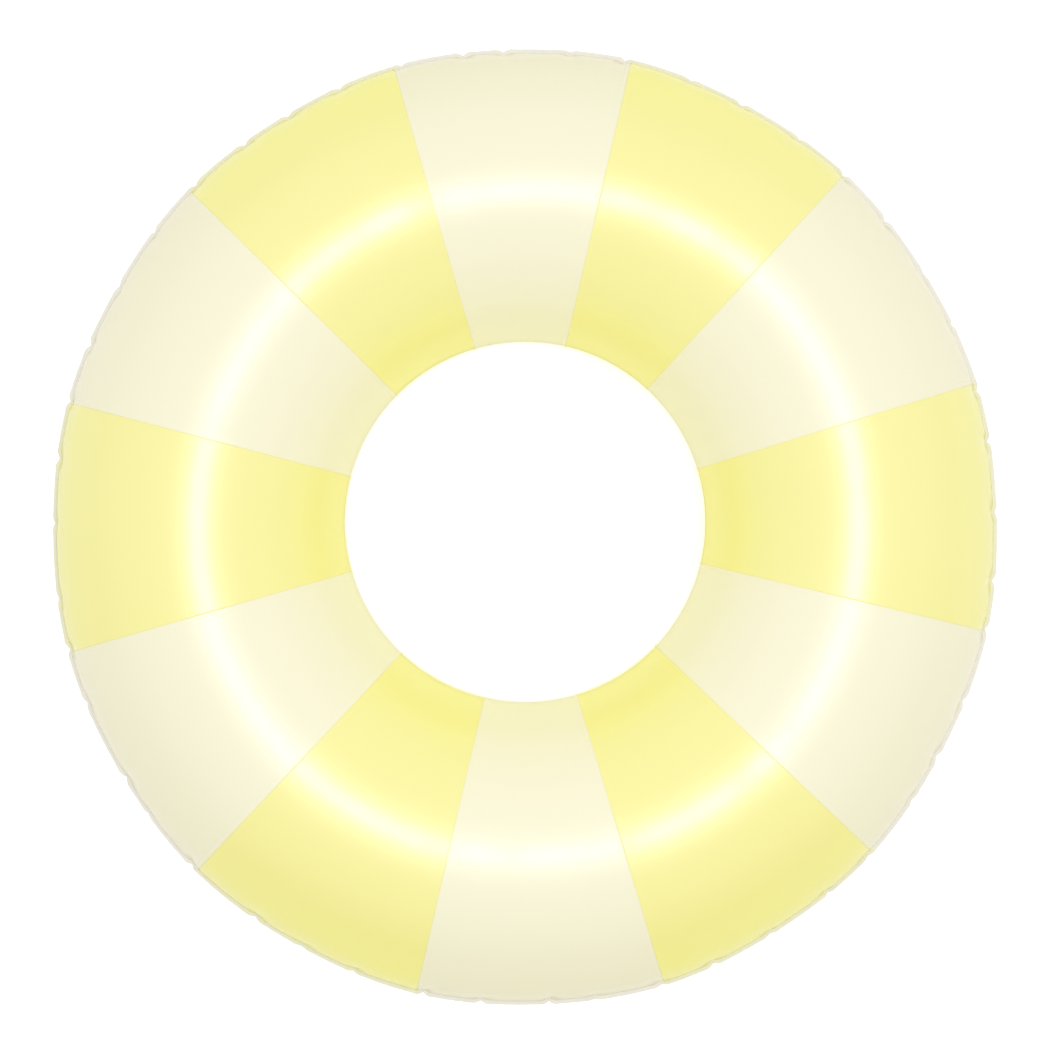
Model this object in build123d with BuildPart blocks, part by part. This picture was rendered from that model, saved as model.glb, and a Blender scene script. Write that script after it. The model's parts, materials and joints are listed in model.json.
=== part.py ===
"""Inflated swim ring with twelve colour panels in each skin and a push-in air valve. Millimetres, +Z up.

The origin is on the ring's axis, at the height of the floor that the ring lies on. Two skins of PVC film, an upper and
a lower one, are welded to each other along the outside of the ring and round its hole. Each skin is cut as twelve
panels, yellow and cream by turns, and every yellow panel has a lap strip that is welded under its cream neighbours.
The valve sits low on the outside of the tube, in the lower cream panel at -Y. It is drawn pushed in and closed.
"""

import os
from math import asin, cos, degrees, hypot, radians, sin, sqrt

from build123d import *

# The ring
OUTER_DIAMETER = 1200.0  # over the outer weld margin
HOLE_DIAMETER = 451.0  # inside the inner weld margin
TUBE_HEIGHT = 296.0  # floor to top, as inflated
CREST_RADIUS = 428.0  # from the ring's axis to the tube's highest line
FOOT_WIDTH = 16.0  # the flat band that the tube's weight presses on the floor, and its twin on top
OUTER_MARGIN = 5.0  # weld margin standing out from the tube
INNER_MARGIN = 2.0  # weld margin standing into the hole
FILM = 0.3
PANELS = 12
LAP = 5.0  # a yellow panel's strip under its cream neighbour
LAP_ROOT = 1.0  # where that strip is one with its own panel

# The valve, along its own axis, from the film's outer surface
VALVE_AZIMUTH = -90.0
VALVE_DROP = 40.0  # degrees below the horizontal that the valve points
VALVE_TRAVEL = 16.0
FILM_HOLE_RADIUS = 12.5
BASE_RADIUS = 20.0
BASE_THICKNESS = 0.8
BASE_OPENING = 12.0
WEB_THICKNESS = 0.7
STEM_RADIUS = 5.75
STEM_LENGTH = 18.0
COLLAR_RADIUS = 6.6
COLLAR_LENGTH = 1.6
THROAT_RADIUS = 4.25
MOUTH_RADIUS = 4.5
MOUTH_DEPTH = 5.0
CAP_RADIUS = 6.8
CAP_THICKNESS = 2.2
CAP_GAP = 0.1
CAP_EDGE_RADIUS = 0.8
PLUG_TOP_RADIUS = 4.1
PLUG_TIP_RADIUS = 2.9
PLUG_LENGTH = 4.4
TAB_LENGTH = 3.0
TAB_ROOT = 2.0  # how far the tab runs in under the cap's edge
TAB_CORNER_RADIUS = 1.2
STRAP_WIDTH = 5.0
STRAP_THICKNESS = 0.9
STRAP_REACH = 9.6  # from the valve's axis to the strap's bend
RING_DEPTH = 2.4  # from the stem's mouth down to the strap's ring
RING_WIDTH = 1.6
RING_RADIUS = 6.9
FLAP_THICKNESS = 0.5
FLAP_RADIUS = 5.6
RUNNING_GAP = 0.15
RING_GAP = 0.05  # the strap's ring grips the stem
SPARE_TURN = 1.0  # degrees that a turned slab goes past what is kept of it

# Worked out from the sizes above
MID_HEIGHT = TUBE_HEIGHT / 2
OUTER_SEAM = OUTER_DIAMETER / 2 - OUTER_MARGIN
INNER_SEAM = HOLE_DIAMETER / 2 + INNER_MARGIN
OUTER_CREST = CREST_RADIUS + FOOT_WIDTH / 2
INNER_CREST = CREST_RADIUS - FOOT_WIDTH / 2
PANEL_ANGLE = 360 / PANELS
WEB_DEPTH = VALVE_TRAVEL / 2


def arc_radius(reach):
    """Radius of an arc that is level at the crest and drops to the seam, that far from it, at mid-height."""
    return (reach**2 + MID_HEIGHT**2) / (2 * MID_HEIGHT)


OUTER_ARC = arc_radius(OUTER_SEAM - OUTER_CREST)
INNER_ARC = arc_radius(INNER_CREST - INNER_SEAM)


def meridian_plane(azimuth):
    """The upright plane through the ring's axis at that azimuth: its x runs outwards and its y up, from mid-height."""
    a = radians(azimuth)
    return Plane(origin=(0, 0, MID_HEIGHT), x_dir=(cos(a), sin(a), 0), z_dir=(sin(a), -cos(a), 0))


def seam_reach(arc, inset):
    """How far from its crest an arc that lies inset inside the film's outer surface meets mid-height."""
    return sqrt((arc - inset) ** 2 - (arc - MID_HEIGHT) ** 2)


def arc_middle(arc, inset):
    """The middle of that arc, from its crest: how far it has run out, and its height."""
    half_turn = asin(seam_reach(arc, inset) / (arc - inset)) / 2
    radius = arc - inset
    return radius * sin(half_turn), MID_HEIGHT - arc + radius * cos(half_turn)


def film_section(first_inset, last_inset, with_margins=False):
    """Section of a layer of film between two surfaces of the tube's upper half, in the meridian plane's x and y."""
    with BuildSketch() as section:
        for inset, mode in ((first_inset, Mode.ADD), (last_inset, Mode.SUBTRACT)):
            top = MID_HEIGHT - inset
            out_x, out_y = arc_middle(OUTER_ARC, inset)
            in_x, in_y = arc_middle(INNER_ARC, inset)
            outer_end = (OUTER_CREST + seam_reach(OUTER_ARC, inset), 0)
            inner_end = (INNER_CREST - seam_reach(INNER_ARC, inset), 0)
            with BuildLine():
                ThreePointArc(inner_end, (INNER_CREST - in_x, in_y), (INNER_CREST, top))
                Line((INNER_CREST, top), (OUTER_CREST, top))
                ThreePointArc((OUTER_CREST, top), (OUTER_CREST + out_x, out_y), outer_end)
                Line(outer_end, inner_end)
            make_face(mode=mode)
        if with_margins:
            outer_root = OUTER_CREST + seam_reach(OUTER_ARC, FILM)
            inner_root = INNER_CREST - seam_reach(INNER_ARC, FILM)
            for low, high in ((outer_root, OUTER_DIAMETER / 2), (HOLE_DIAMETER / 2, inner_root)):
                with Locations((low, 0)):
                    Rectangle(high - low, FILM, align=(Align.MIN, Align.MIN))
    return section.sketch


SKIN_SECTION = film_section(0, FILM, with_margins=True)
LAP_SECTION = film_section(FILM, 2 * FILM)
BASE_SECTION = film_section(FILM, FILM + BASE_THICKNESS)


def lap_strip(side):
    """Lap strip along the meridian at azimuth 0, under the neighbour on its +Y side (1) or its -Y side (-1)."""
    spread = degrees(LAP / INNER_SEAM) + SPARE_TURN
    slab = meridian_plane(0).offset(-side * (LAP - LAP_ROOT) / 2)
    with BuildPart() as strip:
        with BuildSketch(meridian_plane(-spread)):
            add(LAP_SECTION)
        revolve(axis=Axis.Z, revolution_arc=2 * spread)
        with Locations(slab):
            Box(OUTER_DIAMETER, 2 * TUBE_HEIGHT, LAP + LAP_ROOT, mode=Mode.INTERSECT)
    return [solid for solid in strip.part.solids() if solid.center().X > 0]


LAP_STRIPS = {side: lap_strip(side) for side in (-1, 1)}


def upper_panel(centre, with_laps):
    """One colour panel of the upper skin, with its weld margins, centred on that azimuth."""
    start, end = centre - PANEL_ANGLE / 2, centre + PANEL_ANGLE / 2
    with BuildPart() as panel:
        with BuildSketch(meridian_plane(start)):
            add(SKIN_SECTION)
        revolve(axis=Axis.Z, revolution_arc=PANEL_ANGLE)
        if with_laps:
            for side, azimuth in ((-1, start), (1, end)):
                add(LAP_STRIPS[side], rotation=(0, 0, azimuth))
    return panel.part


def valve_plane(height=0.0):
    """Plane square to the valve's axis, that far out from the film. Its x runs along the ring, towards +X."""
    a, drop = radians(VALVE_AZIMUTH), radians(VALVE_DROP)
    outwards = Vector(cos(a) * cos(drop), sin(a) * cos(drop), -sin(drop))
    reach = OUTER_CREST + OUTER_ARC * cos(drop)
    on_film = Vector(reach * cos(a), reach * sin(a), OUTER_ARC - OUTER_ARC * sin(drop))
    return Plane(origin=on_film + outwards * height, x_dir=(-sin(a), cos(a), 0), z_dir=outwards)


def valve_section():
    """The plane through the valve's axis: its x runs along the ring and its y out along the valve."""
    flat = valve_plane()
    return Plane(origin=flat.origin, x_dir=flat.x_dir, z_dir=flat.x_dir.cross(flat.z_dir))


def lower_panel(upper, has_valve):
    """The panel of the lower skin under an upper one, with the valve's hole in it if it has the valve."""
    with BuildPart() as panel:
        mirror(upper, about=Plane.XY.offset(MID_HEIGHT))
        if has_valve:
            with Locations(valve_plane()):
                Cylinder(FILM_HOLE_RADIUS, BASE_RADIUS, mode=Mode.SUBTRACT)
    return panel.part


def save(part, name):
    part.label = name
    export_step(part, f"parts/{name}.step")
    print(f"{name}: {len(part.solids())} solid, {part.volume:.0f} mm3, valid {part.is_valid}")


os.makedirs("parts", exist_ok=True)

# Skins: yellow panels are centred on azimuth 0, 60, 120 and so on, cream ones halfway between them
for colour, first_azimuth, with_laps in (("yellow", 0.0, True), ("cream", PANEL_ANGLE, False)):
    for number in range(PANELS // 2):
        azimuth = first_azimuth + 2 * PANEL_ANGLE * number
        has_valve = (azimuth - VALVE_AZIMUTH) % 360 == 0
        upper = upper_panel(azimuth, with_laps)
        save(upper, f"upper_{colour}_panel_{number + 1}")
        save(lower_panel(upper, has_valve), f"lower_{colour}_panel_{number + 1}")

# Valve base: a disc welded to the inner face of the film round the hole, and curved as the film is
spread = degrees(BASE_RADIUS / OUTER_CREST) + SPARE_TURN
with BuildPart() as valve_base:
    with BuildSketch(meridian_plane(VALVE_AZIMUTH - spread)):
        add(BASE_SECTION)
    revolve(axis=Axis.Z, revolution_arc=2 * spread)
    mirror(about=Plane.XY.offset(MID_HEIGHT), mode=Mode.REPLACE)
    with Locations(valve_plane()):
        Cylinder(BASE_RADIUS, 2 * BASE_RADIUS, mode=Mode.INTERSECT)
        Cylinder(BASE_OPENING, 2 * BASE_RADIUS, mode=Mode.SUBTRACT)
save(valve_base.part, "valve_base")

# Bellows web: the soft cone between the base and the stem's collar, which turns inside out as the stem travels
web_outer = BASE_OPENING - RUNNING_GAP
web_inner = COLLAR_RADIUS + RUNNING_GAP
web_rise = WEB_THICKNESS * hypot(web_outer - web_inner, WEB_DEPTH) / (web_outer - web_inner)
with BuildPart() as valve_bellows:
    with BuildSketch(valve_section()):
        with BuildLine():
            Polyline(
                (web_outer, -FILM),
                (web_inner, -WEB_DEPTH - FILM),
                (web_inner, -WEB_DEPTH - FILM - web_rise),
                (web_outer, -FILM - web_rise),
                close=True,
            )
        make_face()
    revolve(axis=Axis(valve_plane().origin, valve_plane().z_dir))
save(valve_bellows.part, "valve_bellows")

# Stem: the tube that is blown into, with a collar for the bellows and a wider mouth for the plug
with BuildPart() as valve_stem:
    with BuildSketch(valve_plane(-STEM_LENGTH)):
        Circle(STEM_RADIUS)
    extrude(amount=STEM_LENGTH)
    with BuildSketch(valve_plane(-WEB_DEPTH - COLLAR_LENGTH)):
        Circle(COLLAR_RADIUS)
    extrude(amount=COLLAR_LENGTH)
    with BuildSketch(valve_plane(-STEM_LENGTH)):
        Circle(THROAT_RADIUS)
    extrude(amount=STEM_LENGTH, mode=Mode.SUBTRACT)
    with BuildSketch(valve_plane(-MOUTH_DEPTH)):
        Circle(MOUTH_RADIUS)
    extrude(amount=MOUTH_DEPTH, mode=Mode.SUBTRACT)
save(valve_stem.part, "valve_stem")

# Cap: a disc over the stem's mouth, with a tapered plug under it and a tab to lift it by
with BuildPart() as valve_cap:
    with BuildSketch(valve_plane(CAP_GAP)):
        Circle(CAP_RADIUS)
    extrude(amount=CAP_THICKNESS)
    top_edge = valve_cap.edges().sort_by(Axis(valve_plane().origin, valve_plane().z_dir))[-1]
    fillet(top_edge, radius=CAP_EDGE_RADIUS)
    with BuildSketch(valve_plane(CAP_GAP)):
        with Locations((CAP_RADIUS + (TAB_LENGTH - TAB_ROOT) / 2, 0)):
            RectangleRounded(TAB_LENGTH + TAB_ROOT, STRAP_WIDTH, TAB_CORNER_RADIUS)
    extrude(amount=CAP_THICKNESS / 2)
    with BuildSketch(valve_section()):
        with BuildLine():
            Polyline(
                (0, CAP_GAP),
                (PLUG_TOP_RADIUS, CAP_GAP),
                (PLUG_TOP_RADIUS, 0),
                (PLUG_TIP_RADIUS, -PLUG_LENGTH),
                (0, -PLUG_LENGTH),
                close=True,
            )
        make_face()
    revolve(axis=Axis(valve_plane().origin, valve_plane().z_dir))
save(valve_cap.part, "valve_cap")

# Strap: a ring round the stem and a bent band from it to the cap's edge
strap_end = CAP_RADIUS + RUNNING_GAP
ring_middle = -RING_DEPTH - RING_WIDTH / 2
with BuildPart() as valve_strap:
    with BuildSketch(valve_section()):
        with BuildLine():
            ThreePointArc(
                (-strap_end, CAP_GAP + CAP_THICKNESS / 3),
                (-STRAP_REACH, (CAP_GAP + ring_middle) / 2),
                (-RING_RADIUS + STRAP_THICKNESS / 2, ring_middle),
            )
        trace(line_width=STRAP_THICKNESS)
    extrude(amount=STRAP_WIDTH / 2, both=True)
    with BuildSketch(valve_plane(-RING_DEPTH - RING_WIDTH)):
        Circle(RING_RADIUS)
    extrude(amount=RING_WIDTH)
    with BuildSketch(valve_plane(-STEM_LENGTH)):
        Circle(STEM_RADIUS + RING_GAP)
    extrude(amount=STEM_LENGTH + CAP_THICKNESS, mode=Mode.SUBTRACT)
save(valve_strap.part, "valve_strap")

# Non-return flap: a soft disc under the stem's inner end, which air from outside pushes open
with BuildPart() as valve_flap:
    with BuildSketch(valve_plane(-STEM_LENGTH - RUNNING_GAP - FLAP_THICKNESS)):
        Circle(FLAP_RADIUS)
    extrude(amount=FLAP_THICKNESS)
save(valve_flap.part, "valve_flap")
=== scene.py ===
"""Looks of the inflated swim ring: puckered PVC film panels, welded seams, a push-in valve and a studio.

Metres, +Z up, in the frame of the CAD model. Each film panel is a closed shell, made from one formula for
the whole inflated tube. The flat film had more length along its outer weld than the inflated ring has, so it
folds into creases there, and the weld line takes a small notch at each. The valve on the underside is built
along its own axis and then placed.
"""

import json
from math import cos, pi, radians, sin

import bpy
import numpy as np
from mathutils import Matrix, Vector


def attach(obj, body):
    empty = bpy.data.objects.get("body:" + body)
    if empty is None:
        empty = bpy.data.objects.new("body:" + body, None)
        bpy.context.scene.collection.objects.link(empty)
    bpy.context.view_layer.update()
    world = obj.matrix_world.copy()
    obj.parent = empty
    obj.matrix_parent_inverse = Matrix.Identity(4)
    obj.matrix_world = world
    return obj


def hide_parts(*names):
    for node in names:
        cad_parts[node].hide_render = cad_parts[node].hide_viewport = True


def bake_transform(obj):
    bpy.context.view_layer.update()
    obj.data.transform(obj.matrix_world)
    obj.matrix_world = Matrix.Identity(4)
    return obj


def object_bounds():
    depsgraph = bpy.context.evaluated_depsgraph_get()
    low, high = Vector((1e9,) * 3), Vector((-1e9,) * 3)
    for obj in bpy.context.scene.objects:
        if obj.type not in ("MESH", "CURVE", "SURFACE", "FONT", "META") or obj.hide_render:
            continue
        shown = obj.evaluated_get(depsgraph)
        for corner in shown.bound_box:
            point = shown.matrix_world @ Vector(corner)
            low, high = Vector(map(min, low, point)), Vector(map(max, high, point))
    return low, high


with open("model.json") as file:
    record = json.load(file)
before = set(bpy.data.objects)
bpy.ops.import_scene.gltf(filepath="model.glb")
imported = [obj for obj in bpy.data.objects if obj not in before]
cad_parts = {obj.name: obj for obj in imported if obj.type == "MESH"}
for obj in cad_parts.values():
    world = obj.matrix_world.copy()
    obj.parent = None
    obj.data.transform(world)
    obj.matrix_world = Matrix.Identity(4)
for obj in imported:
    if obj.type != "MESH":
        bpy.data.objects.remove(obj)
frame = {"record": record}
CAD_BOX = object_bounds()

MM = 0.001
PANELS = 12
PANEL_ANGLE = 2 * pi / PANELS
SEED = 7

# The ring
OUTER_RADIUS = CAD_BOX[1].x
HALF_HEIGHT = CAD_BOX[1].z / 2
OUTER_MARGIN = 5 * MM
INNER_MARGIN = 2 * MM
HOLE_RADIUS = 225.5 * MM
CREST_RADIUS = 428 * MM
FOOT_WIDTH = 16 * MM
FILM = 0.3 * MM
LAP = 5 * MM
OUTER_SEAM = OUTER_RADIUS - OUTER_MARGIN
INNER_SEAM = HOLE_RADIUS + INNER_MARGIN
HALF_PANEL = OUTER_SEAM * PANEL_ANGLE / 2
LAP_ZONE = 1.3 * LAP
WELD_EDGE = 0.3 * MM

# The valve, along its own axis, from the film's outer surface
VALVE_DROP = radians(40)
VALVE_AZIMUTH = radians(-90)
STEM_LENGTH = 18 * MM
MOUTH_DEPTH = 5 * MM
FILM_HOLE_RADIUS = 12.5 * MM
BASE_RADIUS = 20 * MM
BASE_OPENING = 12 * MM
BASE_THICKNESS = 0.8 * MM
WEB_DEPTH = 8 * MM
WEB_THICKNESS = 0.7 * MM
STEM_RADIUS = 5.75 * MM
THROAT_RADIUS = 4.25 * MM
MOUTH_RADIUS = 4.5 * MM
COLLAR_RADIUS = 6.6 * MM
COLLAR_LENGTH = 1.6 * MM
CAP_RADIUS = 6.8 * MM
CAP_THICKNESS = 2.2 * MM
CAP_GAP = 0.1 * MM
PLUG_LENGTH = 4.4 * MM
STRAP_WIDTH = 5 * MM
STRAP_THICKNESS = 0.9 * MM
STRAP_REACH = 9.6 * MM
STRAP_RING_RADIUS = 6.9 * MM
RING_DEPTH = 2.4 * MM
RING_WIDTH = 1.6 * MM
FLAP_RADIUS = 5.6 * MM
FLAP_TOP = -18.15 * MM
FLAP_THICKNESS = 0.5 * MM
HUB = 0.02 * MM  # the radius of the pinhole that a lathed disc has on its axis

BORE = next(m for m in frame["record"]["mounts"] if m["name"] == "inflation_bore")
VALVE_OUT = Vector(BORE["axis"]).normalized()
VALVE_ORIGIN = Vector(BORE["pos_m"]) + VALVE_OUT * (STEM_LENGTH + MOUTH_DEPTH) / 2
VALVE_X = Vector((1, 0, 0))
VALVE_Y = VALVE_OUT.cross(VALVE_X)
VALVE_PLACE = Matrix.Translation(VALVE_ORIGIN) @ Matrix((VALVE_X, VALVE_Y, VALVE_OUT)).transposed().to_4x4()


# ---------------------------------------------------------------- materials


class Nodes:
    """A short way to write a material's node tree."""

    def __init__(self, name):
        self.material = bpy.data.materials.new(name)
        self.material.use_nodes = True
        self.tree = self.material.node_tree
        self.surface = self.tree.nodes["Principled BSDF"]
        self.place = self.add("ShaderNodeTexCoord").outputs["Object"]

    def add(self, kind, links=(), **settings):
        node = self.tree.nodes.new(kind)
        for key, value in settings.items():
            setattr(node, key, value)
        for socket, value in dict(links).items():
            self.set(node, socket, value)
        return node

    def set(self, node, socket, value):
        if isinstance(value, bpy.types.NodeSocket):
            self.tree.links.new(value, node.inputs[socket])
        else:
            node.inputs[socket].default_value = value

    def noise(self, scale, detail=2.0, roughness=0.5):
        links = {"Vector": self.place, "Scale": scale, "Detail": detail, "Roughness": roughness}
        return self.add("ShaderNodeTexNoise", links).outputs["Fac"]

    def math(self, operation, a, b):
        return self.add("ShaderNodeMath", {0: a, 1: b}, operation=operation).outputs[0]

    def spread(self, value, low, high):
        """A value from 0 to 1 mapped to low to high."""
        links = {"Value": value, "To Min": low, "To Max": high}
        return self.add("ShaderNodeMapRange", links).outputs["Result"]

    def attribute(self, name):
        return self.add("ShaderNodeAttribute", attribute_name=name).outputs["Fac"]

    def mix(self, factor, a, b):
        node = self.add("ShaderNodeMix", data_type="RGBA")
        self.set(node, 0, factor)
        for index, value in ((6, a), (7, b)):
            self.set(node, index, value)
        return node.outputs[2]


def film_material(name, gloss_index, colour, deep, inner, outer, steep, margin_colour):
    """Soft glossy PVC film: faint mottling, deeper where it is doubled, and paler and knurled on the margin.
    Painted shade deepens it on the outer slopes towards -Y and where it bends down to the outer weld, and
    greys it where it is steepest beside that weld; painted bounce light brightens and saturates it where it
    bends down to the inner weld."""
    n = Nodes(name)
    weld, lap, margin = (n.attribute(a) for a in ("weld", "lap", "margin"))
    cloud = n.spread(n.noise(3.5, 3), 0.0, 0.22)
    mottle = n.spread(n.noise(45, 4, 0.6), 0.0, 0.06)
    base = n.mix(n.math("ADD", cloud, mottle), colour, deep)
    # Painted shade: the deep colour laid over the outer slopes on the -Y side, more where the film is
    # steeper
    base = n.mix(n.attribute("painted_side_shade"), base, deep)
    # Painted bounce light: a brighter, more saturated colour where the film turns down to the inner weld
    base = n.mix(n.attribute("inner_turn"), base, inner)
    # Painted shade: a darker, deeper colour where the film bends down to the outer weld, most towards ±Y
    base = n.mix(n.attribute("outer_turn"), base, outer)
    # Painted shade: a greyer, darker colour where the film is steepest beside the outer weld
    base = n.mix(n.attribute("steep_turn"), base, steep)
    base = n.mix(n.math("MULTIPLY", lap, 0.2), base, deep)
    base = n.mix(margin, base, margin_colour)
    n.set(n.surface, "Base Color", base)
    rough = n.math("ADD", n.spread(n.noise(160, 3), 0.23, 0.28), n.math("MULTIPLY", weld, 0.16))
    n.set(n.surface, "Roughness", rough)
    n.surface.inputs["IOR"].default_value = gloss_index
    grain = n.math("MULTIPLY", n.noise(900, 2), 0.01 * MM)
    ripple = n.math("MULTIPLY", n.noise(22, 1), 0.12 * MM)
    knurl = n.add("ShaderNodeTexVoronoi", {"Vector": n.place, "Scale": 950.0}).outputs["Distance"]
    knurl = n.math("MULTIPLY", n.math("MULTIPLY", knurl, weld), 0.2 * MM)
    height = n.math("ADD", n.math("ADD", grain, ripple), knurl)
    bump = n.add("ShaderNodeBump", {"Height": height, "Distance": 1.0, "Strength": 1.0})
    n.set(n.surface, "Normal", bump.outputs["Normal"])
    return n.material


def vinyl_material(name, colour, deep):
    """Milky moulded PVC of the valve, with a fine moulded grain."""
    n = Nodes(name)
    n.set(n.surface, "Base Color", n.mix(n.spread(n.noise(120, 3), 0.0, 0.6), colour, deep))
    n.set(n.surface, "Roughness", n.spread(n.noise(420, 3), 0.30, 0.44))
    n.surface.inputs["IOR"].default_value = 1.53
    n.surface.inputs["Subsurface Weight"].default_value = 0.35
    n.surface.inputs["Subsurface Radius"].default_value = (0.9, 0.9, 0.8)
    n.surface.inputs["Subsurface Scale"].default_value = 2 * MM
    height = n.math("MULTIPLY", n.noise(1800, 3, 0.6), 0.04 * MM)
    bump = n.add("ShaderNodeBump", {"Height": height, "Distance": 1.0})
    n.set(n.surface, "Normal", bump.outputs["Normal"])
    return n.material


# inner is a painted bounce light colour; outer and steep are painted shade colours; deep is the film's
# mottled  and doubled colour and also the painted shade on the outer slopes towards -Y
YELLOW = film_material(
    "yellow_film",
    gloss_index=1.60,
    colour=(0.93, 0.89, 0.37, 1),
    deep=(0.91, 0.84, 0.27, 1),
    inner=(0.98, 0.93, 0.26, 1),
    outer=(0.90, 0.86, 0.07, 1),
    steep=(0.72, 0.68, 0.12, 1),
    margin_colour=(0.81, 0.80, 0.67, 1),
)
CREAM = film_material(
    "cream_film",
    gloss_index=1.40,
    colour=(0.915, 0.885, 0.67, 1),
    deep=(0.89, 0.85, 0.61, 1),
    inner=(0.97, 0.94, 0.60, 1),
    outer=(0.84, 0.80, 0.49, 1),
    steep=(0.72, 0.655, 0.46, 1),
    margin_colour=(0.84, 0.82, 0.76, 1),
)
VINYL = vinyl_material("valve_vinyl", (0.84, 0.86, 0.80, 1), (0.78, 0.80, 0.72, 1))
FILMS = {"yellow": YELLOW, "cream": CREAM}


# ---------------------------------------------------------------- pieces


def piece(name, points, faces, material, body, nodes, layers=None, sharp=38):
    """A mesh object in place of CAD nodes, riding on the body if given, with one float attribute per layer.
    """
    mesh = bpy.data.meshes.new(name)
    mesh.from_pydata(points.tolist(), [], faces.tolist())
    mesh.polygons.foreach_set("use_smooth", np.ones(len(mesh.polygons), bool))
    mesh.set_sharp_from_angle(angle=radians(sharp))
    for layer, values in (layers or {}).items():
        mesh.attributes.new(layer, "FLOAT", "POINT").data.foreach_set("value", values.astype(np.float32))
    mesh.materials.append(material)
    mesh.validate()
    ob = bpy.data.objects.new(name, mesh)
    bpy.context.scene.collection.objects.link(ob)
    if body:
        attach(ob, body)
    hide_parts(*nodes)
    return ob


def outward(points, faces):
    """The four-sided faces of one closed solid, turned to face out: its volume comes out positive then."""
    a, b, c, d = (points[faces[:, corner]] for corner in range(4))
    volume = np.sum(a * np.cross(b, c)) + np.sum(a * np.cross(c, d))
    return faces if volume > 0 else faces[:, ::-1]


def grid_faces(rows, cols, first=0, flip=False):
    index = np.arange(rows * cols).reshape(rows, cols) + first
    faces = np.stack([index[:-1, :-1], index[:-1, 1:], index[1:, 1:], index[1:, :-1]], -1).reshape(-1, 4)
    return faces[:, ::-1] if flip else faces


def shell_faces(rows, cols):
    """Faces of a closed shell: an outer grid, an inner grid after it, and a rim round all four sides."""
    count = rows * cols
    index = np.arange(count).reshape(rows, cols)
    rim = np.concatenate([index[0], index[1:, -1], index[-1, -2::-1], index[-2:0:-1, 0]])
    after = np.roll(rim, -1)
    sides = np.stack([rim, rim + count, after + count, after], -1)
    return np.concatenate([grid_faces(rows, cols), grid_faces(rows, cols, count, flip=True), sides])


# ---------------------------------------------------------------- the inflated tube

rng = np.random.default_rng(SEED)


def smooth(x):
    x = np.clip(x, 0, 1)
    return x * x * (3 - 2 * x)


def boundary(panel):
    """Azimuth of a panel's first edge in the CAD model. Panel 0 is centred on +X."""
    return (panel - 0.5) * PANEL_ANGLE


def make_creases():
    """The creases at the outer weld, about four to a panel, one of them close to the panel's edge."""
    creases = []
    for panel in range(PANELS):
        for place in range(4):
            loose = 0.14 if place == 0 else 0.19
            creases.append(
                {
                    "azimuth": boundary(panel) + (place + rng.uniform(-loose, loose)) * PANEL_ANGLE / 4,
                    "depth": rng.uniform(1.8, 4.4) * MM,
                    "width": rng.uniform(6.5, 10.5) * MM,
                    "reach": rng.uniform(22, 62) * MM,
                    "lean": rng.uniform(-0.22, 0.22),
                    "kick": rng.uniform(-1.6, 1.6) * MM,
                }
            )
    return creases


CREASES = make_creases()
WAVES = [(k, rng.uniform(0, 2 * pi), rng.uniform(0.5, 1.0)) for k in (5, 7, 9, 13, 19, 26, 33)]
CREST_WAVES = [(k, rng.uniform(0, 2 * pi)) for k in (3, 4, 5)]
PANEL_CREST = rng.uniform(-2.0, 2.0, PANELS) * MM
PANEL_SWELL = rng.uniform(-0.2, 0.2, PANELS) * MM


def around(azimuth, centre):
    """Signed angle from centre to azimuth."""
    return (azimuth - centre + pi) % (2 * pi) - pi


def outline(azimuth):
    """How far the outer seam stands from its circle: fuller at -Y, longer along Y, cornered at the laps."""
    fuller = -6.3 * np.sin(azimuth)
    longer = -3.7 * np.cos(2 * azimuth)
    cornered = -1.2 * np.cos(PANELS * azimuth)
    return (fuller + longer + cornered) * MM


def per_panel(values, azimuth):
    """A value for each panel, changing over quickly at the laps."""
    t = azimuth / PANEL_ANGLE + 0.5
    panel = np.floor(t).astype(int)
    share = t - panel
    here, before, after = (values[(panel + step) % PANELS] for step in (0, -1, 1))
    edge = 0.12
    return np.where(
        share < edge,
        before + (here - before) * smooth(0.5 + share / edge / 2),
        np.where(share > 1 - edge, here + (after - here) * smooth((share - 1 + edge) / edge / 2), here),
    )


def section(outer_part, share, azimuth, foot, shaped):
    """Tube section in the plane of the azimuth: radius, height over mid-height, the normal's two parts, and
    the distance along the film from the outer seam. share runs from 0 to 1, away from the outer seam on the
    outer part and away from the crest on the inner part. shaped is False for the CAD model's section."""
    seam, crest, height = OUTER_SEAM, CREST_RADIUS, HALF_HEIGHT
    if shaped:
        drift = outline(azimuth)
        seam = seam + drift
        swing = sum(np.sin(k * azimuth + phase) for k, phase in CREST_WAVES)
        lean = (1.6 * np.sin(2 * azimuth) - 1.0 * np.cos(2 * azimuth) - 2.0) * MM
        crest = crest + 0.45 * drift + lean + 0.9 * MM * swing + per_panel(PANEL_CREST, azimuth)
    outer_crest, inner_crest = crest + foot / 2, crest - foot / 2
    reach = seam - outer_crest
    outer_arc = (reach**2 + height**2) / (2 * height)
    outer_turn = np.arcsin(np.clip(reach / outer_arc, 0, 1))
    reach = inner_crest - INNER_SEAM
    inner_arc = (reach**2 + height**2) / (2 * height)
    inner_turn = np.arcsin(np.clip(reach / inner_arc, 0, 1))
    turn = np.where(outer_part, outer_turn * (1 - share), -inner_turn * share)
    arc = np.where(outer_part, outer_arc, inner_arc)
    middle = np.where(outer_part, outer_crest, inner_crest)
    radius = middle + arc * np.sin(turn)
    rise = height - arc + arc * np.cos(turn)
    outer_length = outer_arc * outer_turn
    length = np.where(outer_part, outer_length * share, outer_length + inner_arc * inner_turn * share)
    return radius, rise, np.sin(turn), np.cos(turn), length


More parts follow.
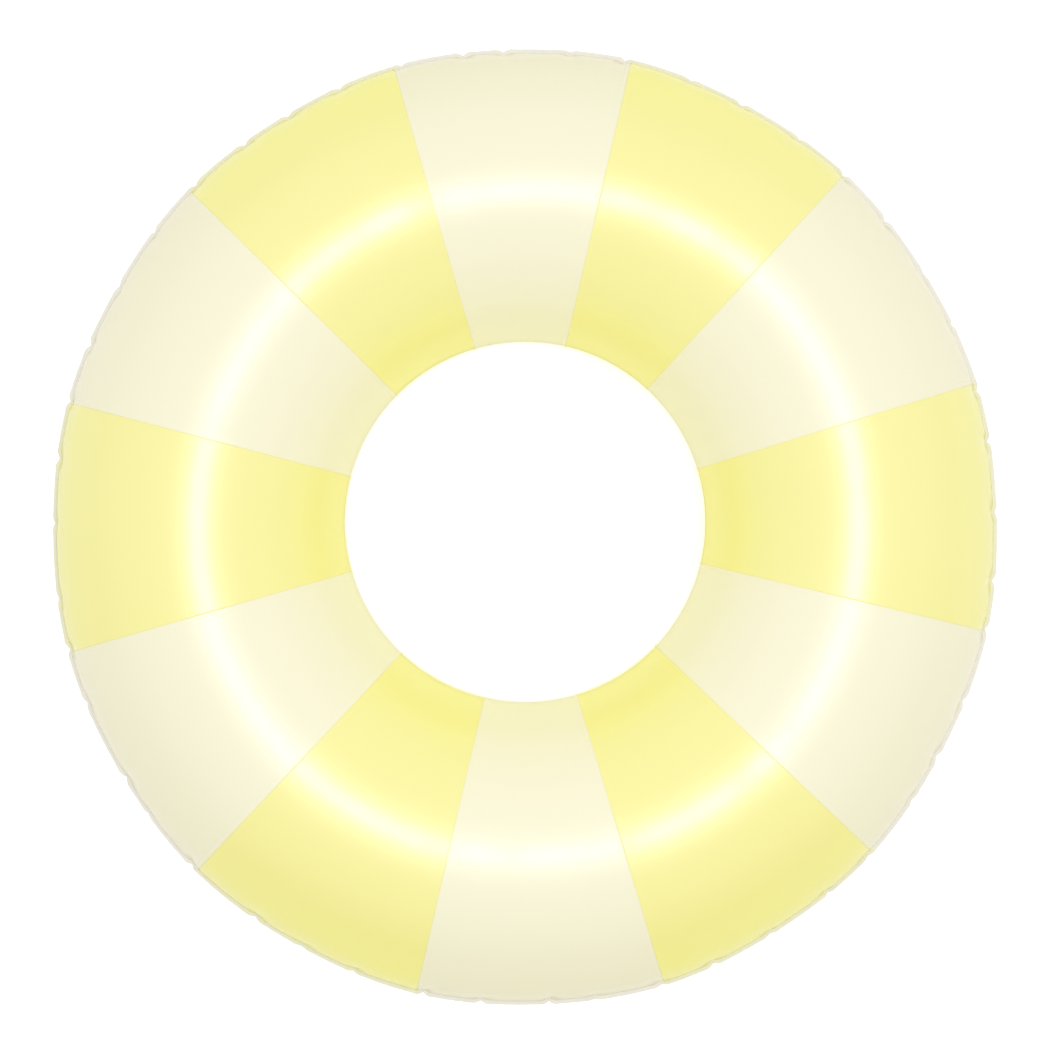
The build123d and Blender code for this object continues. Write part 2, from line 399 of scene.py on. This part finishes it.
def crease_depth(azimuth, length):
    """How far the creases draw the film in, at a distance along it from the outer seam."""
    total = np.zeros(np.broadcast(azimuth, length).shape)
    for c in CREASES:
        across = OUTER_SEAM * around(azimuth, c["azimuth"]) - c["lean"] * np.minimum(length, 70 * MM)
        width = c["width"] * (1 + length / (19 * MM))
        soft = 0.05 + 0.55 * (1 - np.exp(-length / (26 * MM)))
        x = np.sqrt((across / width) ** 2 + soft**2) - soft
        fade = np.exp(-((length / c["reach"]) ** 1.15))
        valley = np.clip(1 - x, 0, 1) ** 2
        shoulder = 0.1 * np.exp(-(((np.abs(across / width) - 1.2) / 0.45) ** 2))
        total += c["depth"] * fade * (valley - shoulder)
    return total


def crease_kick(azimuth, spread):
    """How far the creases push the weld line up or down."""
    total = np.zeros_like(azimuth)
    for c in CREASES:
        across = OUTER_SEAM * around(azimuth, c["azimuth"]) / spread
        total += c["kick"] * across * np.exp(-(across**2))
    return total


def small_ripples(azimuth, length, middle_share):
    """Long soft unevenness of the tube and the short ripples beside the weld."""
    long = sum(size * np.sin(k * azimuth + phase) for k, phase, size in WAVES)
    short = np.sin(331 * azimuth + 2 * np.sin(17 * azimuth)) * (0.6 + 0.4 * np.sin(11 * azimuth + 1))
    return 0.16 * MM * long * middle_share + 0.16 * MM * short * np.exp(-length / (9 * MM))


def wander(azimuth):
    """How far the colour panels were cut and welded off their even places, as an angle."""
    once = 0.63 * np.cos(azimuth) - 0.18 * np.sin(azimuth)
    twice = 0.58 * np.sin(2 * azimuth) - 0.25 * np.cos(2 * azimuth)
    return np.radians(once + twice)


def upright(radius, rise, azimuth, side):
    """Points from a section's radius and rise. side is 1 for the upper skin and -1 for the lower."""
    azimuth = azimuth + wander(azimuth)
    x, y = radius * np.cos(azimuth), radius * np.sin(azimuth)
    return np.stack(np.broadcast_arrays(x, y, HALF_HEIGHT + side * rise), -1)


def valve_distance(points):
    """Each point's distance from the valve's axis, large on the far side of the ring."""
    away = points - np.array(VALVE_ORIGIN)
    out = away @ np.array(VALVE_OUT)
    off = np.linalg.norm(away - out[..., None] * np.array(VALVE_OUT), axis=-1)
    return np.where(np.abs(out) < 60 * MM, off, 1.0)


def weld_line_dip(from_edge, middle_share):
    """The laps are stiffer than the single film, so they lie a little lower than the panels between them."""
    return 0.12 * MM * np.exp(-((from_edge / (16 * MM)) ** 2)) * middle_share


# Rows of a panel's grid. The first run along the outer margin towards the tube, the last out along the inner
# margin. The shares between them are those that section() takes.
OUTER_MARGIN_ROWS = np.array([5.0, 4.9, 4.6, 4.2, 3.5, 2.7, 1.9, 1.2, 0.8, 0.45]) * MM
INNER_MARGIN_ROWS = np.array([0.4, 0.7, 1.0, 1.4, 1.8, 2.0]) * MM
OUTER_SHARES = np.array([0.004, 0.008, 0.013, 0.02, 0.029, 0.04, 0.053, 0.068, 0.086, 0.107, 0.131, 0.159])
OUTER_SHARES = np.concatenate([OUTER_SHARES, np.linspace(0.19, 1.0, 24)])
INNER_SHARES = np.concatenate([np.linspace(0.0, 0.95, 28)[1:], [0.972, 0.985, 0.992, 0.9965]])
MARGIN_WELD = (0.7 * MM, 4.5 * MM)
LAP_WELD = (0.5 * MM, 4.7 * MM)
LAP_EDGE = 1.2 * MM
VALVE_WELD = (13.4 * MM, 19.8 * MM)
VALVE_WELD_EDGE = 2.2 * MM
VALVE_WELD_DEPTH = 0.35 * MM
CALM_RADIUS = 52 * MM
KICK_REACH = 14 * MM
CLEAR_OF_WELD = 9 * MM


def band(place, limits, edge=WELD_EDGE):
    """1 between two limits and 0 outside them, with soft edges."""
    low, high = limits
    return smooth((place - low) / edge) * smooth((high - place) / edge)


def closer(gap, away, least, within, growth):
    """A gap between columns, no more than least within a distance of a place and growing from there."""
    return np.minimum(gap, least + growth * np.maximum(away - within, 0))


def column_places(panel, dense_middle=False):
    """A panel's columns, close at its creases, as lengths along the outer seam from the panel's middle."""
    middle = panel * PANEL_ANGLE
    x = np.linspace(-HALF_PANEL, HALF_PANEL, 6001)
    gap = np.full_like(x, 6.5 * MM)
    for c in CREASES:
        away = np.abs(x - OUTER_SEAM * around(c["azimuth"], middle))
        gap = closer(gap, away, least=1.2 * MM, within=7 * MM, growth=0.3)
    if dense_middle:
        gap = closer(gap, np.abs(x), least=1.3 * MM, within=24 * MM, growth=0.2)
    for edge in (-HALF_PANEL, HALF_PANEL):
        gap = closer(gap, np.abs(x - edge), least=0.9 * MM, within=6.5 * MM, growth=0.25)
    steps = np.concatenate([[0], np.cumsum((x[1:] - x[:-1]) * 2 / (gap[1:] + gap[:-1]))])
    count = int(np.ceil(steps[-1]))
    return np.interp(np.linspace(0, steps[-1], count + 1), steps, x)


def film_panel(name, node, panel, upper):
    """One colour panel of the upper or the lower skin: a closed shell of film with its two weld margins."""
    yellow = panel % 2 == 0
    side = 1 if upper else -1
    foot = 0.0 if upper else FOOT_WIDTH
    has_valve = not upper and abs(around(panel * PANEL_ANGLE, VALVE_AZIMUTH)) < 0.01
    x = column_places(panel, has_valve)
    if yellow:
        under_cream = np.array([HALF_PANEL + LAP / 2, HALF_PANEL + LAP])
        x = np.concatenate([-under_cream[::-1], x, under_cream])

    outer_shares = OUTER_SHARES
    if has_valve:
        outer_shares = np.unique(np.concatenate([OUTER_SHARES, np.linspace(0.27, 0.60, 56)]))
    at_seams = np.zeros(len(OUTER_MARGIN_ROWS)), np.ones(len(INNER_MARGIN_ROWS))
    share = np.concatenate([at_seams[0], outer_shares, INNER_SHARES, at_seams[1]])
    first_inner = len(OUTER_MARGIN_ROWS) + len(outer_shares)
    outer_part = (np.arange(len(share)) < first_inner)[:, None]
    margin = np.zeros(len(share))
    margin[: len(OUTER_MARGIN_ROWS)] = OUTER_MARGIN_ROWS
    margin[-len(INNER_MARGIN_ROWS) :] = INNER_MARGIN_ROWS
    margin, share = margin[:, None], share[:, None]
    on_margin = margin > 0

    # The laps keep their width in millimetres all the way to the hole
    rough_radius = section(outer_part, share, 0.0, foot, False)[0]
    from_edge = np.maximum(HALF_PANEL - np.abs(x), 0)[None, :]
    stretch = OUTER_SEAM / rough_radius - 1
    beyond = np.maximum(np.abs(x) - HALF_PANEL, 0)[None, :]
    fade = np.clip((HALF_PANEL - from_edge) / (HALF_PANEL - LAP_ZONE), 0, 1)
    inside = np.minimum(from_edge, LAP_ZONE) * fade
    place = np.sign(x)[None, :] * (HALF_PANEL - from_edge - inside * stretch + beyond * (1 + stretch))
    azimuth = panel * PANEL_ANGLE + place / OUTER_SEAM
    off_edge = np.where(beyond > 0, -beyond, np.minimum(from_edge, from_edge + inside * stretch))

    radius, rise, n_out, n_up, length = section(outer_part, share, azimuth, foot, True)
    tilt = np.abs(n_out)
    whole = length[-1:]
    middle_share = np.sqrt(np.sin(pi * np.clip(length / whole, 0, 1)))
    inset = crease_depth(azimuth, length) * outer_part
    inset = inset + weld_line_dip(off_edge, middle_share) - per_panel(PANEL_SWELL, azimuth) * middle_share
    inset = inset - small_ripples(azimuth, length, middle_share)
    kick = crease_kick(azimuth, 9 * MM) * outer_part * np.exp(-length / KICK_REACH)
    flutter = crease_kick(azimuth + 0.006, 12 * MM) * outer_part * margin / OUTER_MARGIN

    # On the margins the film lies level, one film's thickness from mid-height
    n_out = np.where(on_margin, 0.0, n_out)
    n_up = np.where(on_margin, 1.0, n_up)
    outwards = np.where(outer_part, 1.0, -1.0)
    flat_radius = radius + outwards * margin - inset * outer_part
    radius = np.where(on_margin, flat_radius, radius - n_out * inset)
    rise = np.where(on_margin, FILM, rise - n_up * inset)

    # Welded bands on the margin are pressed thinner, and a cream edge lies on the yellow strip
    weld = band(margin, MARGIN_WELD) * outer_part
    lap = np.zeros_like(off_edge)
    if yellow:
        step = FILM * 1.15 * smooth((0.9 * MM - off_edge) / (0.7 * MM))
        radius, rise = radius - n_out * step, rise - n_up * step
    else:
        lap = smooth((LAP - off_edge) / LAP_EDGE)
        lap_weld = band(off_edge, LAP_WELD)
        weld = np.maximum(weld, 0.2 * lap_weld)
        lift = 0.5 * FILM * lap - 0.35 * FILM * lap_weld
        radius, rise = radius + n_out * lift, rise + n_up * lift
    pressed = 0.3 * FILM * weld * on_margin
    rise = rise - pressed
    rise_inner = rise - n_up * FILM + pressed
    radius_inner = radius - n_out * FILM

    # side * (kick + flutter) moves both skins' margins together, whichever way up the panel is
    shift = side * (kick + flutter)
    outer = upright(radius, rise + shift, azimuth, side)
    inner = upright(radius_inner, rise_inner + shift, azimuth, side)
    if not upper:
        # Round the valve the film is calm, as in the CAD model, and the valve's weld presses a ring inwards
        plain = section(outer_part, share, azimuth, foot, False)
        plain_outer = upright(plain[0], plain[1], azimuth, side)
        thickness = upright(plain[0] - n_out * FILM, plain[1] - n_up * FILM, azimuth, side) - plain_outer
        off = valve_distance(plain_outer)
        calm = np.exp(-((off / CALM_RADIUS) ** 2)) * ~on_margin
        outer = outer + (plain_outer - outer) * calm[..., None]
        inner = inner + (plain_outer + thickness - inner) * calm[..., None]
        ring = band(off, VALVE_WELD, VALVE_WELD_EDGE)
        push = -np.array(VALVE_OUT) * VALVE_WELD_DEPTH * ring[..., None]
        outer, inner = outer + push, inner + push
        weld = np.maximum(weld, ring)
        outer[..., 2] = np.maximum(outer[..., 2], 0.0)
        inner[..., 2] = np.maximum(inner[..., 2], outer[..., 2] + 0.5 * FILM * (outer[..., 2] < 1 * MM))

    rows, cols = outer.shape[:2]
    points = np.concatenate([outer.reshape(-1, 3), inner.reshape(-1, 3)])
    faces = outward(points, shell_faces(rows, cols))
    clear_of_weld = outer_part * smooth(length / CLEAR_OF_WELD)
    inner_pale = 0.65 * np.exp(-(whole - length) / (2.2 * MM))
    layers = {
        "weld": weld,
        "lap": lap,
        "margin": np.where(outer_part, np.clip(margin / MM, 0, 1), inner_pale),
        # Painted shade on the outer slopes towards -Y, more where the film is steeper
        "painted_side_shade": np.clip(-np.sin(azimuth), 0, 1) * tilt * outer_part,
        # Painted bounce light where the film turns down to the inner weld
        "inner_turn": tilt**4 * ~outer_part,
        # Painted shade where the film bends down to the outer weld, strongest towards ±Y
        "outer_turn": tilt**4 * (0.3 + 0.75 * np.sin(azimuth) ** 2) * clear_of_weld,
        # Painted shade where the film is steepest beside the outer weld
        "steep_turn": tilt**20 * clear_of_weld,
    }
    layers = {name: np.tile((values * np.ones((rows, cols))).ravel(), 2) for name, values in layers.items()}
    colour = "yellow" if yellow else "cream"
    ob = piece(name, points, faces, FILMS[colour], "ring", [node], layers)
    if has_valve:
        cut_round_hole(ob)
    declare_sheet(yellow)
    return ob


def cut_round_hole(ob):
    """The valve's round hole in the film."""
    bpy.ops.mesh.primitive_cylinder_add(vertices=96, radius=FILM_HOLE_RADIUS, depth=30 * MM)
    cutter = bpy.context.object
    cutter.matrix_world = VALVE_PLACE
    cut = ob.modifiers.new("valve_hole", "BOOLEAN")
    cut.operation, cut.solver, cut.object = "DIFFERENCE", "EXACT", cutter
    bpy.context.view_layer.update()
    graph = bpy.context.evaluated_depsgraph_get()
    ob.data = bpy.data.meshes.new_from_object(ob.evaluated_get(graph), depsgraph=graph)
    ob.modifiers.clear()
    bpy.data.objects.remove(cutter)


def declare_sheet(yellow):
    """The sizes of a panel's flat cut, a slice of a flat ring as wide as the tube's film: worked out, then
    unused.
    """
    reaches = OUTER_SEAM - CREST_RADIUS, CREST_RADIUS - INNER_SEAM
    arcs = [(reach**2 + HALF_HEIGHT**2) / (2 * HALF_HEIGHT) for reach in reaches]
    film_length = sum(arc * float(np.arcsin(reach / arc)) for arc, reach in zip(arcs, reaches))
    low, high = HOLE_RADIUS, INNER_SEAM + film_length + OUTER_MARGIN
    area = PANEL_ANGLE / 2 * (high**2 - low**2)
    width, length = 2 * high * sin(PANEL_ANGLE / 2), high - low * cos(PANEL_ANGLE / 2)
    if yellow:
        area += 2 * LAP * (high - low)
        width += 2 * LAP


# ---------------------------------------------------------------- the valve


def on_valve(points):
    """Points from the valve's own axes to the frame."""
    return points @ np.array(VALVE_PLACE.to_3x3()).T + np.array(VALVE_ORIGIN)


def film_fall(x, y):
    """How far the film has curved away from the plane that touches it at the valve."""
    outer_crest = CREST_RADIUS + FOOT_WIDTH / 2
    reach = OUTER_SEAM - outer_crest
    arc = (reach**2 + HALF_HEIGHT**2) / (2 * HALF_HEIGHT)
    round_ring = (outer_crest + arc * cos(VALVE_DROP)) / cos(VALVE_DROP)
    return x**2 / (2 * round_ring) + y**2 / (2 * arc)


def rounded(corners, radius=0.25 * MM, steps=4):
    """A closed outline with each corner rounded, apart from those on the valve's axis."""
    points = []
    count = len(corners)
    for i, corner in enumerate(corners):
        p, before, after = (np.array(corners[k % count], float) for k in (i, i - 1, i + 1))
        to_before, to_after = before - p, after - p
        a, b = np.linalg.norm(to_before), np.linalg.norm(to_after)
        if abs(p[0]) <= HUB:
            points.append(p)
            continue
        r = min(radius, 0.45 * a, 0.45 * b)
        start, end = p + to_before / a * r, p + to_after / b * r
        for t in np.linspace(0, 1, steps):
            points.append((1 - t) ** 2 * start + 2 * t * (1 - t) * p + t**2 * end)
    return np.array(points)


def lathe(outline_points, segments=96):
    """Points and faces of a ring-shaped solid: a closed outline of radius and height, turned round."""
    count = len(outline_points)
    turn = np.arange(segments) * 2 * pi / segments
    radius, height = outline_points[:, 0], outline_points[:, 1]
    x = radius[None, :] * np.cos(turn)[:, None]
    y = radius[None, :] * np.sin(turn)[:, None]
    points = np.stack([x, y, np.broadcast_to(height, x.shape)], -1).reshape(-1, 3)
    i, j = np.meshgrid(np.arange(segments), np.arange(count), indexing="ij")
    i2, j2 = (i + 1) % segments, (j + 1) % count
    faces = np.stack([i * count + j, i2 * count + j, i2 * count + j2, i * count + j2], -1).reshape(-1, 4)
    return points, outward(points, faces)


def joined(*parts):
    """Several parts' points and faces as one."""
    points, faces, count = [], [], 0
    for p, f in parts:
        points.append(p)
        faces.append(f + count)
        count += len(p)
    return np.concatenate(points), np.concatenate(faces)


def swept_band(path, width, thickness, corner=0.3 * MM):
    """A band with rounded edges along a path in the valve's x and z, its width along y."""
    w, t = width / 2, thickness / 2
    outline_points = rounded([(-w, -t), (w, -t), (w, t), (-w, t)], corner)
    tangent = np.gradient(path, axis=0)
    tangent /= np.linalg.norm(tangent, axis=1)[:, None]
    normal = np.stack([-tangent[:, 1], tangent[:, 0]], -1)
    rings = []
    for at, n in zip(path, normal):
        across = at[None, :] + outline_points[:, 1:2] * n[None, :]
        rings.append(np.stack([across[:, 0], outline_points[:, 0], across[:, 1]], -1))
    rows, cols = len(rings), len(outline_points)
    points = np.concatenate(rings)
    i, j = np.meshgrid(np.arange(rows - 1), np.arange(cols), indexing="ij")
    j2 = (j + 1) % cols
    here, after = i * cols, (i + 1) * cols
    faces = np.stack([here + j, here + j2, after + j2, after + j], -1).reshape(-1, 4)
    ends = []
    for row, order in ((0, -1), (rows - 1, 1)):
        loop = (np.arange(cols) + row * cols)[::order]
        back = loop[::-1]
        half = cols // 2
        ends.append(np.stack([loop[: half - 1], loop[1:half], back[1:half], back[: half - 1]], -1))
    return points, outward(points, np.concatenate([faces, *ends]))


def valve_base():
    top, bottom = -FILM, -FILM - BASE_THICKNESS
    lip = BASE_OPENING + 1.2 * MM
    corners = [
        (BASE_RADIUS, top),
        (BASE_RADIUS, bottom),
        (lip, bottom),
        (BASE_OPENING, bottom - 0.5 * MM),
        (BASE_OPENING - 0.1 * MM, top + 0.1 * MM),
        (lip - 0.9 * MM, top + 0.15 * MM),
        (lip - 0.7 * MM, top),
    ]
    points, faces = lathe(rounded(corners, 0.2 * MM, 3), 128)
    points[:, 2] -= film_fall(points[:, 0], points[:, 1])
    piece("valve_base_disc", on_valve(points), faces, VINYL, "ring", ["valve_base"])


def valve_bellows():
    """The soft cone, with three shallow rings that let it turn inside out."""
    t = np.linspace(0, 1, 34)
    radius = BASE_OPENING + 0.3 * MM + (STEM_RADIUS + 0.3 * MM - BASE_OPENING) * t
    height = -FILM - 0.2 * MM - (WEB_DEPTH + 0.9 * MM) * smooth(0.06 + 0.88 * t)
    height += 0.28 * MM * np.sin(2 * pi * 3 * t) * np.sin(pi * t)
    line = np.stack([radius, height], -1)
    tangent = np.gradient(line, axis=0)
    tangent /= np.linalg.norm(tangent, axis=1)[:, None]
    normal = np.stack([-tangent[:, 1], tangent[:, 0]], -1)
    under = line + normal * WEB_THICKNESS
    points, faces = lathe(np.concatenate([line, under[::-1]]), 128)
    off = np.hypot(points[:, 0], points[:, 1])
    outer_share = smooth((off - STEM_RADIUS) / (BASE_OPENING - STEM_RADIUS))
    points[:, 2] -= film_fall(points[:, 0], points[:, 1]) * outer_share
    places, nodes = on_valve(points), ["valve_bellows"]
    ob = piece("valve_bellows_cone", places, faces, VINYL, None, nodes, sharp=60)
    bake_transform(ob)


def valve_stem():
    collar_top, collar_bottom = -WEB_DEPTH, -WEB_DEPTH - COLLAR_LENGTH
    corners = [
        (MOUTH_RADIUS, 0),
        (STEM_RADIUS, 0),
        (STEM_RADIUS, collar_top),
        (COLLAR_RADIUS, collar_top),
        (COLLAR_RADIUS, collar_bottom),
        (STEM_RADIUS, collar_bottom),
        (STEM_RADIUS, -STEM_LENGTH),
        (THROAT_RADIUS, -STEM_LENGTH),
        (THROAT_RADIUS, -MOUTH_DEPTH),
        (MOUTH_RADIUS, -MOUTH_DEPTH),
    ]
    points, faces = lathe(rounded(corners, 0.35 * MM, 4), 96)
    places, nodes = on_valve(points), ["valve_stem"]
    piece("valve_stem_tube", places, faces, VINYL, "valve_stem", nodes, sharp=50)


def valve_cap():
    """A dished disc with a rolled edge, a tapered plug with a sealing bead under it, and a ribbed tab."""
    low, high = CAP_GAP, CAP_GAP + CAP_THICKNESS
    corners = [
        (HUB, high - 0.55 * MM),
        (3.6 * MM, high - 0.5 * MM),
        (4.6 * MM, high),
        (CAP_RADIUS, high),
        (CAP_RADIUS, low),
        (4.1 * MM, low),
        (4.1 * MM, -0.6 * MM),
        (4.32 * MM, -1.0 * MM),
        (4.0 * MM, -1.5 * MM),
        (2.9 * MM, -PLUG_LENGTH),
        (HUB, -PLUG_LENGTH),
    ]
    body = lathe(rounded(corners, 0.55 * MM, 5), 96)
    tab_start, tab_end = CAP_RADIUS - 0.8 * MM, CAP_RADIUS + 3 * MM
    t = np.linspace(0, 1, 14)
    path = np.stack([tab_start + (tab_end - tab_start) * t, low + 0.6 * MM + 0.25 * MM * t**2], -1)
    tab = swept_band(path, STRAP_WIDTH, 1.1 * MM, 0.5 * MM)
    ribs = []
    for place in (0.45, 0.65, 0.85):
        x = tab_start + (tab_end - tab_start) * place
        y = np.linspace(-1.8, 1.8, 9) * MM
        bar = np.stack([np.full(9, x), y], -1)
        rib, rib_faces = swept_band(bar, 0.5 * MM, 0.36 * MM, 0.15 * MM)
        rib = np.stack([rib[:, 0], rib[:, 2], rib[:, 1] + low + 1.15 * MM + 0.25 * MM * place**2], -1)
        ribs.append((rib, outward(rib, rib_faces)))
    points, faces = joined(body, tab, *ribs)
    places, nodes = on_valve(points), ["valve_cap"]
    piece("valve_cap_plug", places, faces, VINYL, "valve_cap", nodes, sharp=50)


def valve_strap():
    """A ring round the stem and a band bent back from it to the cap's edge."""
    middle = -RING_DEPTH - RING_WIDTH / 2
    ring_low, ring_high = -RING_DEPTH - RING_WIDTH, -RING_DEPTH
    inside = STEM_RADIUS - 0.05 * MM
    outside = STRAP_RING_RADIUS
    corners = [(inside, ring_high), (outside, ring_high), (outside, ring_low), (inside, ring_low)]
    ring = lathe(rounded(corners, 0.4 * MM, 4), 96)
    cap_end = np.array([-CAP_RADIUS + 0.3 * MM, CAP_GAP + CAP_THICKNESS / 3])
    stem_end = np.array([-STRAP_RING_RADIUS + 0.5 * MM, middle])
    bend_x = -STRAP_REACH - 1.1 * MM
    stem_pull, cap_pull = np.array([bend_x, middle]), np.array([bend_x, cap_end[1]])
    t = np.linspace(0, 1, 30)[:, None]
    u = 1 - t
    path = u**3 * stem_end + 3 * t * u**2 * stem_pull + 3 * t**2 * u * cap_pull + t**3 * cap_end
    strap = swept_band(path, STRAP_WIDTH, STRAP_THICKNESS, 0.35 * MM)
    points, faces = joined(ring, strap)
    places, nodes = on_valve(points), ["valve_strap"]
    ob = piece("valve_strap_band", places, faces, VINYL, None, nodes, sharp=50)
    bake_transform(ob)


def valve_flap():
    low = FLAP_TOP - FLAP_THICKNESS
    corners = [
        (HUB, FLAP_TOP),
        (FLAP_RADIUS, FLAP_TOP),
        (FLAP_RADIUS, low),
        (4.6 * MM, low),
        (4.3 * MM, low - 0.25 * MM),
        (3.9 * MM, low - 0.25 * MM),
        (3.6 * MM, low),
        (HUB, low),
    ]
    points, faces = lathe(rounded(corners, 0.15 * MM, 3), 72)
    places, nodes = on_valve(points), ["valve_flap"]
    piece("valve_flap_disc", places, faces, VINYL, "valve_flap", nodes, sharp=50)


# ---------------------------------------------------------------- the object

for number in range(PANELS // 2):
    for after_yellow, colour in enumerate(("yellow", "cream")):
        panel = 2 * number + after_yellow
        for skin in ("upper", "lower"):
            node = f"{skin}_{colour}_panel_{number + 1}"
            film_panel(f"film_{skin}_{colour}_{number + 1}", node, panel, skin == "upper")

valve_base()
valve_bellows()
valve_stem()
valve_cap()
valve_strap()
valve_flap()


# ---------------------------------------------------------------- studio


def studio_floor():
    """A white floor, clear from below so that the underside can be looked at."""
    mesh = bpy.data.meshes.new("studio_floor")
    half = 40.0
    low = -0.2 * MM
    corners = [(-half, -half, low), (half, -half, low), (half, half, low), (-half, half, low)]
    mesh.from_pydata(corners, [], [(0, 1, 2, 3)])
    n = Nodes("studio_floor")
    n.set(n.surface, "Base Color", (0.85, 0.85, 0.86, 1))
    n.set(n.surface, "Roughness", 0.9)
    n.surface.inputs["Specular IOR Level"].default_value = 0.1
    seen = n.add("ShaderNodeLightPath").outputs["Is Camera Ray"]
    n.surface.inputs["Emission Color"].default_value = (1, 1, 1, 1)
    n.set(n.surface, "Emission Strength", n.spread(seen, 0.28, 0.50))
    below = n.add("ShaderNodeNewGeometry").outputs["Backfacing"]
    clear = n.add("ShaderNodeBsdfTransparent").outputs["BSDF"]
    both = n.add("ShaderNodeMixShader", {0: below, 1: n.surface.outputs["BSDF"], 2: clear}).outputs[0]
    n.set(n.tree.nodes["Material Output"], "Surface", both)
    mesh.materials.append(n.material)
    ob = bpy.data.objects.new("studio_floor", mesh)
    bpy.context.scene.collection.objects.link(ob)


def studio_world():
    """A white room, a little brighter towards +Y and along X, with a brighter backdrop for the camera."""
    dimmest, brightest, for_camera = 0.655, 0.795, 0.35
    world = bpy.data.worlds.new("studio")
    world.use_nodes = True
    tree = world.node_tree
    background = tree.nodes["Background"]
    background.inputs["Color"].default_value = (1, 1, 1, 1)
    place = tree.nodes.new("ShaderNodeTexCoord")
    parts = tree.nodes.new("ShaderNodeSeparateXYZ")
    strength = tree.nodes.new("ShaderNodeMapRange")
    strength.inputs["From Min"].default_value = -1
    strength.inputs["To Min"].default_value = dimmest
    strength.inputs["To Max"].default_value = brightest
    operations = ("MULTIPLY", "ADD", "MULTIPLY", "ADD")
    square, side, backdrop, total = (tree.nodes.new("ShaderNodeMath") for _ in operations)
    for node, operation in zip((square, side, backdrop, total), operations):
        node.operation = operation
    backdrop.inputs[1].default_value = for_camera
    seen = tree.nodes.new("ShaderNodeLightPath")
    links = tree.links
    links.new(place.outputs["Generated"], parts.inputs["Vector"])
    links.new(parts.outputs["X"], square.inputs[0])
    links.new(parts.outputs["X"], square.inputs[1])
    links.new(square.outputs[0], side.inputs[0])
    links.new(parts.outputs["Y"], side.inputs[1])
    links.new(side.outputs[0], strength.inputs["Value"])
    links.new(seen.outputs["Is Camera Ray"], backdrop.inputs[0])
    links.new(backdrop.outputs[0], total.inputs[0])
    links.new(strength.outputs["Result"], total.inputs[1])
    links.new(total.outputs[0], background.inputs["Strength"])
    bpy.context.scene.world = world


def disc_light(name, place, target, diameter, radiance):
    """A round area light, with its strength given as the brightness of its face."""
    light = bpy.data.lights.new(name, "AREA")
    light.shape, light.size = "DISK", diameter
    light.energy = radiance * pi * (pi * diameter**2 / 4)
    ob = bpy.data.objects.new(name, light)
    bpy.context.scene.collection.objects.link(ob)
    ob.location = place
    ob.rotation_euler = (Vector(target) - Vector(place)).to_track_quat("-Z", "Y").to_euler()
    ob.visible_camera = False


def studio_camera():
    """Straight down over the ring's axis, turned a little, the ring filling nine tenths of the picture."""
    view_width = 1.3241
    distance = 3.4
    camera = bpy.data.cameras.new("camera")
    camera.sensor_width = 36.0
    camera.lens = camera.sensor_width * distance / view_width
    ob = bpy.data.objects.new("camera", camera)
    bpy.context.scene.collection.objects.link(ob)
    ob.location = (0.0, -0.0038, HALF_HEIGHT + distance)
    ob.rotation_euler = (0, 0, radians(-1.5))
    bpy.context.scene.camera = ob


studio_floor()
studio_world()
disc_light("key", place=(0.22, 0.04, 4.1), target=(0, 0, 0), diameter=0.86, radiance=15.0)
disc_light("key_glow", place=(0.22, 0.04, 4.15), target=(0, 0, 0), diameter=2.3, radiance=1.8)
studio_camera()
bpy.context.scene.view_settings.view_transform = "Standard"
bpy.context.scene.view_settings.look = "None"
